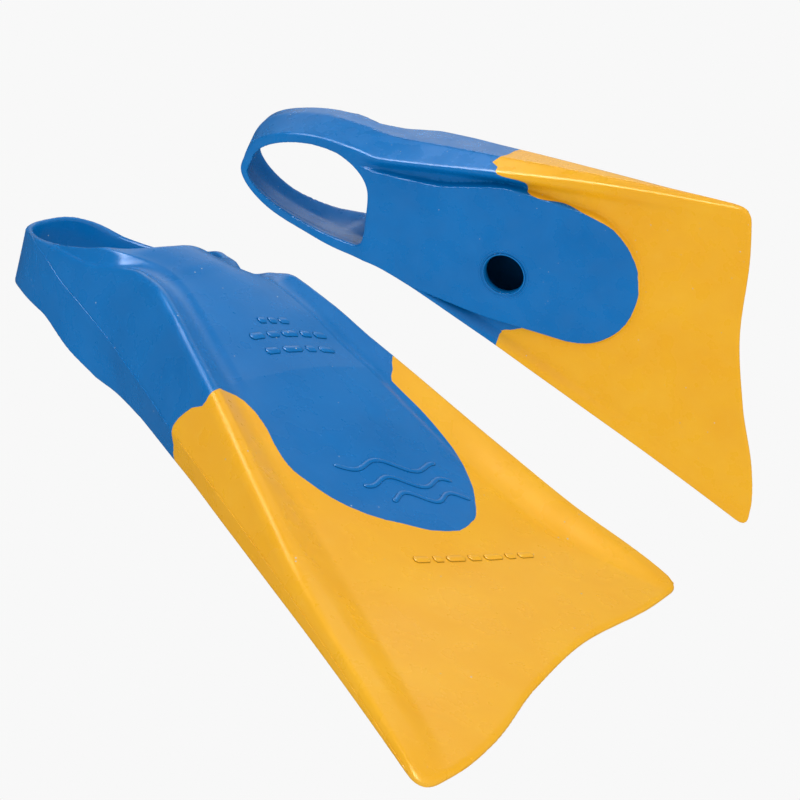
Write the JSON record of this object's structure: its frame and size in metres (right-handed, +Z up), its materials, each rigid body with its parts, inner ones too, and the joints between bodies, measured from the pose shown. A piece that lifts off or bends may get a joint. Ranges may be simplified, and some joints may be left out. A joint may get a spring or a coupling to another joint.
{
  "type": "pair of swim fins",
  "caption": "Short open-heel swim fins in two-colour rubber, each with a foot pocket, heel strap, side rails and a slanted flexible blade.",
  "frame": {"origin": "a point on the flat of the right fin's sole, 160 mm in front of the back of its heel strap", "axes": "+X from the right fin's heel strap to its blade, +Y towards the inner side of the right foot, +Z up from the right fin's sole"},
  "size_m": [0.6007, 0.6278, 0.2185],
  "materials": {
    "blue_rubber": "semi-gloss moulded rubber",
    "yellow_rubber": "semi-gloss moulded rubber"
  },
  "bodies": {
    "right_pocket": {"right_pocket_upper": "blue_rubber", "right_toe_box": "blue_rubber", "right_sole": "blue_rubber", "right_drain_collar": "blue_rubber", "right_tongue": "blue_rubber", "right_outer_strap_root": "blue_rubber", "right_inner_strap_root": "blue_rubber", "right_outer_rail_root": "yellow_rubber", "right_inner_rail_root": "yellow_rubber", "right_outer_rail_flex": "yellow_rubber", "right_inner_rail_flex": "yellow_rubber"},
    "right_strap": {"right_heel_strap": "blue_rubber"},
    "right_blade": {"right_blade_web": "yellow_rubber", "right_outer_rail": "yellow_rubber", "right_inner_rail": "yellow_rubber"},
    "left_pocket": {"left_pocket_upper": "blue_rubber", "left_toe_box": "blue_rubber", "left_sole": "blue_rubber", "left_drain_collar": "blue_rubber", "left_tongue": "blue_rubber", "left_outer_strap_root": "blue_rubber", "left_inner_strap_root": "blue_rubber", "left_outer_rail_root": "yellow_rubber", "left_inner_rail_root": "yellow_rubber", "left_outer_rail_flex": "yellow_rubber", "left_inner_rail_flex": "yellow_rubber"},
    "left_strap": {"left_heel_strap": "blue_rubber"},
    "left_blade": {"left_blade_web": "yellow_rubber", "left_outer_rail": "yellow_rubber", "left_inner_rail": "yellow_rubber"}
  },
  "joints": [
    {"name": "right_strap_swing", "type": "hinge", "parent": "right_pocket", "child": "right_strap", "pos_m": [-0.066, 0.009, 0.034], "axis": [0, 1, 0], "range_deg": [-35, 40], "stiffness_Nm_per_rad": 0.4, "deforming": ["right_outer_strap_root", "right_inner_strap_root"]},
    {"name": "right_blade_flex", "type": "hinge", "parent": "right_pocket", "child": "right_blade", "pos_m": [0.12, 0, 0.01], "axis": [0, -1, 0], "range_deg": [-15, 15], "stiffness_Nm_per_rad": 3, "deforming": ["right_tongue", "right_outer_rail_flex", "right_inner_rail_flex"]},
    {"name": "left_strap_swing", "type": "hinge", "parent": "left_pocket", "child": "left_strap", "pos_m": [-0.25055, 0.35366, 0.03351], "axis": [-0.0637, 0.2639, -0.9625], "range_deg": [-35, 40], "stiffness_Nm_per_rad": 0.4, "deforming": ["left_outer_strap_root", "left_inner_strap_root"]},
    {"name": "left_blade_flex", "type": "hinge", "parent": "left_pocket", "child": "left_blade", "pos_m": [-0.06941, 0.40242, 0.02554], "axis": [0.0637, -0.2639, 0.9625], "range_deg": [-15, 15], "stiffness_Nm_per_rad": 3, "deforming": ["left_tongue", "left_outer_rail_flex", "left_inner_rail_flex"]},
    {"name": "left_fin_lift", "type": "slide", "parent": "right_pocket", "child": "left_pocket", "axis": [0, 0, 1], "range_m": [0, 0.2]}
  ]
}
